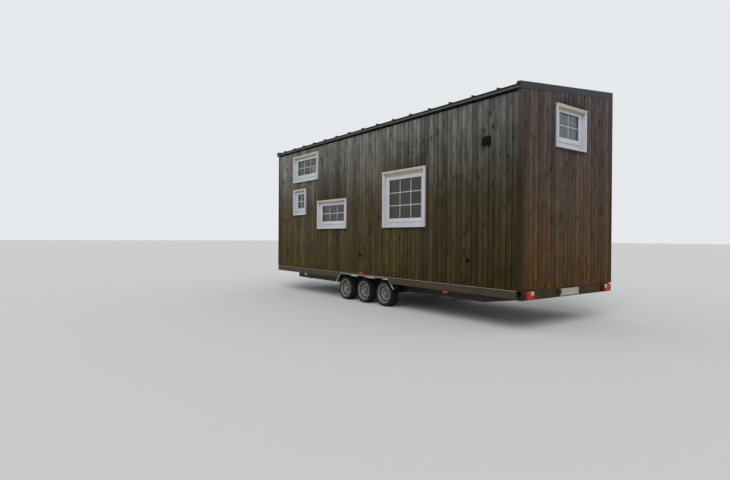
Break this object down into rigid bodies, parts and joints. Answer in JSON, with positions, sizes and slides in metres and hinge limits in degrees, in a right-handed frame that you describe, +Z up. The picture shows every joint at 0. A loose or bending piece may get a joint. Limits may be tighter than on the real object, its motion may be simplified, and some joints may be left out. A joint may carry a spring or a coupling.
{
  "type": "tiny house on a three-axle trailer",
  "caption": "Dark timber-clad tiny house with white casement windows and a low mono-pitch metal roof, on a three-axle trailer with turning wheels.",
  "frame": {"origin": "centre of the bounding box at ground level, under the tyres", "axes": "+X towards the rear wall with the lamps, +Y towards the high side of the roof, +Z up"},
  "size_m": [8.6, 2.54, 3.7115],
  "materials": {
    "galvanised_steel": "dull galvanised zinc with road dirt",
    "bumper_steel": "dark painted steel, dusty",
    "coupling_iron": "cast iron with grease film",
    "zinc_plate": "zinc plated, matte",
    "axle_steel": "dull galvanised zinc, dirty",
    "guard_sheet": "mill finish sheet, scuffed",
    "lamp_lens": "ribbed red lens",
    "plate_white": "bare white plate, dusty",
    "amber_lens": "amber lens",
    "clear_lens": "clear lens",
    "floor_wood": "oiled boards",
    "roof_wood": "sawn timber",
    "stained_boards": "dark stained softwood boards, open grain, weathered",
    "trim_sheet": "charcoal coated sheet, matte",
    "roof_metal": "charcoal coated sheet, satin",
    "white_paint": "white satin paint",
    "window_glass": "double glazing, clear",
    "black_plastic": "black matte plastic",
    "rim_steel": "silver coated steel, dusty",
    "tyre_rubber": "black rubber, dusty sidewalls"
  },
  "bodies": {
    "house": {"main_beams": "galvanised_steel", "cross_members": "galvanised_steel", "side_rails": "galvanised_steel", "rear_bumper": "bumper_steel", "drawbar": "galvanised_steel", "coupling_head": "coupling_iron", "jockey_wheel": "zinc_plate", "front_axle": "axle_steel", "middle_axle": "axle_steel", "rear_axle": "axle_steel", "left_mudguard": "guard_sheet", "right_mudguard": "guard_sheet", "tail_lamps": "lamp_lens", "number_plate": "plate_white", "plate_lamp": "black_plastic", "amber_markers": "amber_lens", "clear_markers": "clear_lens", "floor_deck": "floor_wood", "left_wall": "stained_boards", "right_wall": "stained_boards", "rear_wall": "stained_boards", "front_wall": "stained_boards", "loft_floors": "floor_wood", "roof_deck": "roof_wood", "roof_sheet": "roof_metal", "eave_fascia": "roof_metal", "eave_vent": "black_plastic", "high_flashing": "roof_metal", "verge_flashings": "roof_metal", "corner_boards": "trim_sheet", "left_casings": "white_paint", "left_sashes": "white_paint", "left_glass": "window_glass", "right_casings": "white_paint", "right_sashes": "white_paint", "right_glass": "window_glass", "end_casings": "white_paint", "end_sashes": "white_paint", "end_glass": "window_glass", "door_frame": "white_paint", "door_leaf": "white_paint", "door_glass": "window_glass", "air_cowl": "black_plastic", "wall_inlets": "black_plastic"},
    "left_front_wheel": {"left_front_rim": "rim_steel", "left_front_tyre": "tyre_rubber"},
    "left_middle_wheel": {"left_middle_rim": "rim_steel", "left_middle_tyre": "tyre_rubber"},
    "left_rear_wheel": {"left_rear_rim": "rim_steel", "left_rear_tyre": "tyre_rubber"},
    "right_front_wheel": {"right_front_rim": "rim_steel", "right_front_tyre": "tyre_rubber"},
    "right_middle_wheel": {"right_middle_rim": "rim_steel", "right_middle_tyre": "tyre_rubber"},
    "right_rear_wheel": {"right_rear_rim": "rim_steel", "right_rear_tyre": "tyre_rubber"}
  },
  "joints": [
    {"name": "left_front_roll", "type": "hinge", "parent": "house", "child": "left_front_wheel", "pos_m": [-0.095, -1.0625, 0.24], "axis": [0, -1, 0], "continuous": true},
    {"name": "left_middle_roll", "type": "hinge", "parent": "house", "child": "left_middle_wheel", "pos_m": [0.54, -1.0625, 0.24], "axis": [0, -1, 0], "continuous": true},
    {"name": "left_rear_roll", "type": "hinge", "parent": "house", "child": "left_rear_wheel", "pos_m": [1.175, -1.0625, 0.24], "axis": [0, -1, 0], "continuous": true},
    {"name": "right_front_roll", "type": "hinge", "parent": "house", "child": "right_front_wheel", "pos_m": [-0.095, 0.9885, 0.24], "axis": [0, -1, 0], "continuous": true},
    {"name": "right_middle_roll", "type": "hinge", "parent": "house", "child": "right_middle_wheel", "pos_m": [0.54, 0.9885, 0.24], "axis": [0, -1, 0], "continuous": true},
    {"name": "right_rear_roll", "type": "hinge", "parent": "house", "child": "right_rear_wheel", "pos_m": [1.175, 0.9885, 0.24], "axis": [0, -1, 0], "continuous": true}
  ]
}
